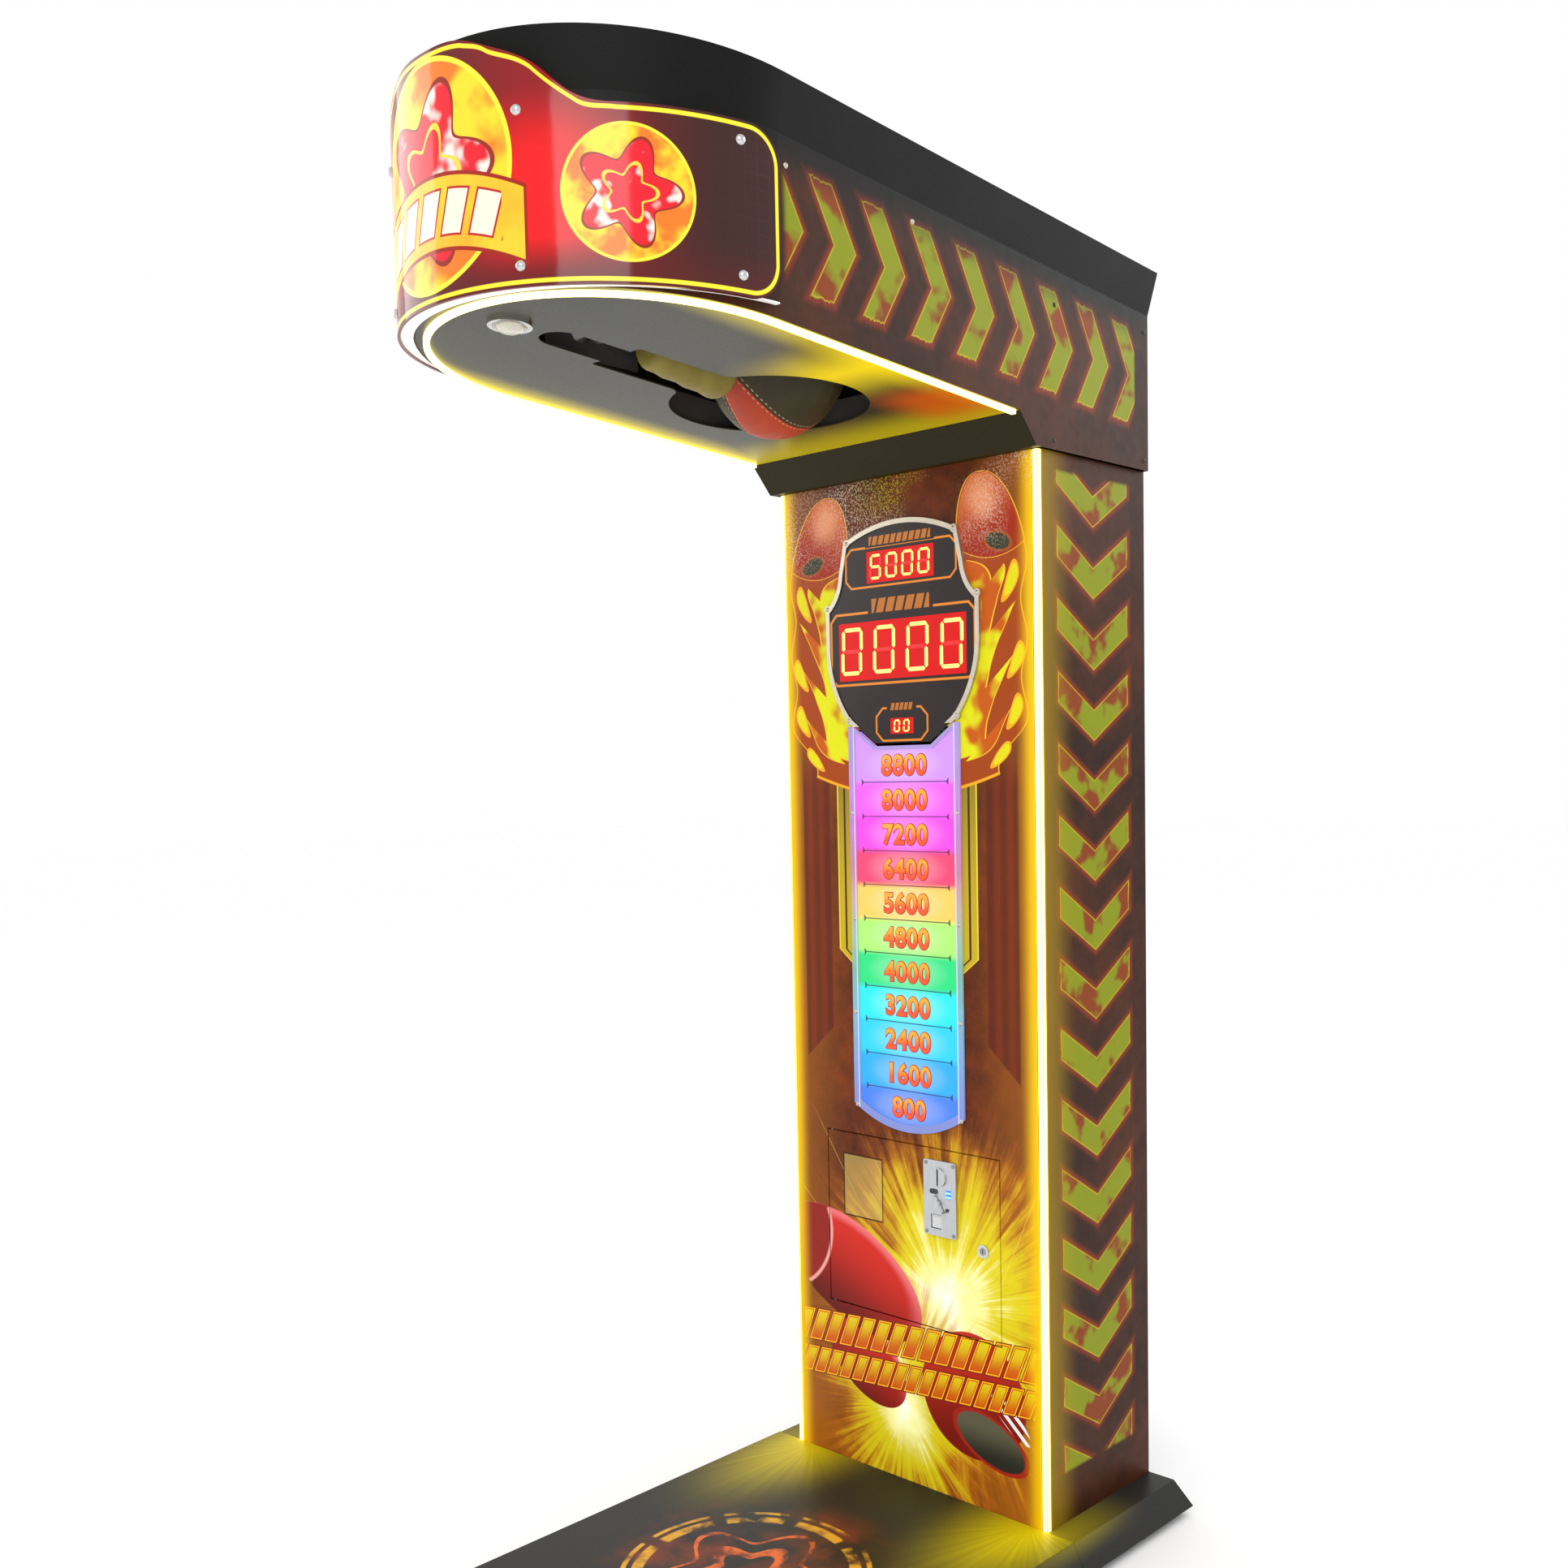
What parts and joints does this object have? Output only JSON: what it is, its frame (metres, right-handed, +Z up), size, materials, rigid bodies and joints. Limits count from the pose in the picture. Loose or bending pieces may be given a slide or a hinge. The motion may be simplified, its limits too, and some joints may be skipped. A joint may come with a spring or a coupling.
{
  "type": "boxing punch machine",
  "caption": "Free-standing arcade boxing machine: lit column with score display and strength ladder, overhead head and a swinging punch ball.",
  "frame": {"origin": "on the floor, under the middle of the machine's bounding box", "axes": "+Z up, the player stands on the -Y side, +X to the right of a person facing the machine"},
  "size_m": [0.695, 1.224, 2.1662],
  "materials": {
    "black_metal": "satin",
    "printed_front": "satin",
    "printed_side": "satin",
    "frame_steel": "matte",
    "platform_steel": "satin",
    "rubber_mat": "matte",
    "rubber_black": "matte",
    "zinc_steel": "satin",
    "steel_bright": "satin",
    "chrome_trim": "polished",
    "silver_frame": "satin",
    "led_glow": "glowing",
    "clear_acrylic": "polished",
    "smoked_window": "polished",
    "red_filter": "polished",
    "ladder_print": "glowing",
    "marquee_print": "glowing",
    "white_tray": "satin",
    "grey_plastic": "satin",
    "board_green": "satin",
    "ball_leather": "satin",
    "sleeve_leather": "satin",
    "paper_black": "matte"
  },
  "bodies": {
    "cabinet": {"cash_box": "zinc_steel", "coin_chute": "grey_plastic", "column_back_panel": "black_metal", "column_base": "platform_steel", "column_front_panel": "printed_front", "column_shell": "printed_side", "corner_led_strips": "led_glow", "display_bezel": "silver_frame", "display_filters": "red_filter", "display_window": "smoked_window", "door_hinge_brackets": "zinc_steel", "front_platform": "platform_steel", "head_back_panel": "black_metal", "head_frame": "frame_steel", "head_side_wrap": "printed_side", "head_top_cover": "black_metal", "head_underside": "black_metal", "ladder_diffuser": "ladder_print", "ladder_frame": "clear_acrylic", "ladder_light_box": "white_tray", "latch_solenoid": "grey_plastic", "leveling_feet": "rubber_black", "main_board": "board_green", "mains_inlet": "grey_plastic", "marquee_panel": "marquee_print", "marquee_screws": "chrome_trim", "marquee_tray": "white_tray", "optical_sensor": "grey_plastic", "panel_screws": "zinc_steel", "pivot_bearings": "zinc_steel", "pivot_bracket": "frame_steel", "platform_frame": "frame_steel", "platform_mat": "rubber_mat", "power_supply": "zinc_steel", "rear_service_panel": "black_metal", "score_board": "board_green", "speaker": "paper_black", "spot_lamp_bezel": "chrome_trim", "spot_lamp_lens": "clear_acrylic", "stop_buffers": "rubber_black", "transition_cover": "black_metal", "underside_led_strip": "led_glow"},
    "arm": {"pivot_axle": "steel_bright", "swing_arm": "frame_steel", "arm_bumper": "rubber_black", "leather_sleeve": "sleeve_leather", "punch_ball": "ball_leather", "sensor_disc": "steel_bright"},
    "latch": {"latch_hook": "steel_bright"},
    "plunger": {"solenoid_plunger": "steel_bright"},
    "coin_door": {"coin_door": "black_metal", "coin_faceplate": "steel_bright", "coin_mech_body": "grey_plastic", "bill_cover_plate": "steel_bright", "door_lock_body": "chrome_trim"},
    "lock_plug": {"door_lock_plug": "steel_bright"},
    "lever": {"reject_lever": "grey_plastic"},
    "flap": {"coin_return_flap": "chrome_trim"},
    "wheelset": {"wheel_axle": "steel_bright", "transport_wheels": "rubber_black"}
  },
  "joints": [
    {"name": "ball_swing", "type": "hinge", "parent": "cabinet", "child": "arm", "pos_m": [0, -0.3115, 1.89527], "axis": [-1, 0, 0], "range_deg": [0, 105]},
    {"name": "latch_turn", "type": "hinge", "parent": "cabinet", "child": "latch", "pos_m": [0, -0.2315, 1.98927], "axis": [1, 0, 0], "range_deg": [0, 12]},
    {"name": "plunger_slide", "type": "slide", "parent": "cabinet", "child": "plunger", "axis": [0, 0, -1], "range_m": [0, 0.0115]},
    {"name": "coin_door_hinge", "type": "hinge", "parent": "cabinet", "child": "coin_door", "pos_m": [-0.182, 0.2945, 0.4975], "axis": [0, 0, -1], "range_deg": [0, 95]},
    {"name": "coin_door_lock", "type": "hinge", "parent": "coin_door", "child": "lock_plug", "pos_m": [0.154, 0.2885, 0.496], "axis": [0, -1, 0], "range_deg": [0, 90]},
    {"name": "coin_reject_lever", "type": "hinge", "parent": "coin_door", "child": "lever", "pos_m": [0.065, 0.2885, 0.561], "axis": [0, 1, 0], "range_deg": [0, 30], "stiffness_Nm_per_rad": 0.02},
    {"name": "coin_return_flap_hinge", "type": "hinge", "parent": "coin_door", "child": "flap", "pos_m": [0.06, 0.2855, 0.5329], "axis": [1, 0, 0], "range_deg": [0, 60]},
    {"name": "wheel_spin", "type": "hinge", "parent": "cabinet", "child": "wheelset", "pos_m": [0, 0.5595, 0.024], "axis": [1, 0, 0], "continuous": true}
  ],
  "couplings": [
    {"joint": "plunger_slide", "follows": "latch_turn", "m_per_rad": 0.054}
  ]
}
